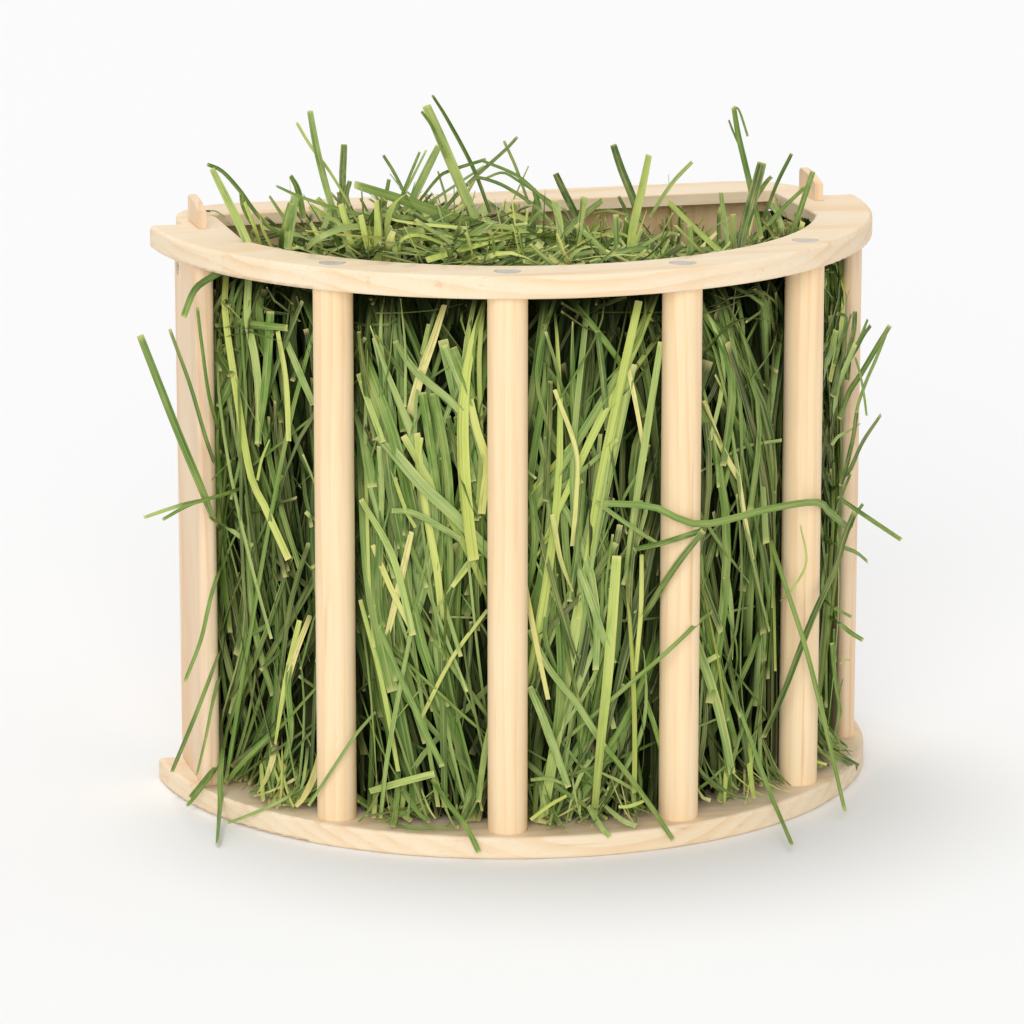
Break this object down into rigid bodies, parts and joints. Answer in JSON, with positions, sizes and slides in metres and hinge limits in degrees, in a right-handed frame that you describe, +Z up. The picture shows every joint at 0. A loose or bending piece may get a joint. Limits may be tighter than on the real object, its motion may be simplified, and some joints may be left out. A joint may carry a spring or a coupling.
{
  "type": "hay feeder box",
  "caption": "Free-standing half-round wooden hay rack with upright dowels, flat side posts, a back panel and an open ring at the top, filled with green hay.",
  "frame": {"origin": "centre of the curved front's arc, on the underside of the base plate", "axes": "+Z up, the curved front faces -Y, the flat back faces +Y"},
  "size_m": [0.296, 0.191, 0.2864],
  "materials": {
    "pale_board": "satin",
    "pale_dowel": "satin",
    "panel_board": "matte",
    "zinc_screw": "satin",
    "green_hay": "matte"
  },
  "bodies": {
    "root": {"back_panel": "panel_board", "back_rail": "pale_board", "base_plate": "pale_board", "base_screws": "zinc_screw", "front_dowel_1": "pale_dowel", "front_dowel_2": "pale_dowel", "front_dowel_3": "pale_dowel", "front_dowel_4": "pale_dowel", "hay_bed": "green_hay", "hay_tufts": "green_hay", "left_lug": "pale_board", "left_post": "pale_board", "lug_screws": "zinc_screw", "panel_screws": "zinc_screw", "post_screws": "zinc_screw", "right_lug": "pale_board", "right_post": "pale_board", "ring_nails": "zinc_screw", "top_ring": "pale_board"}
  },
  "joints": []
}
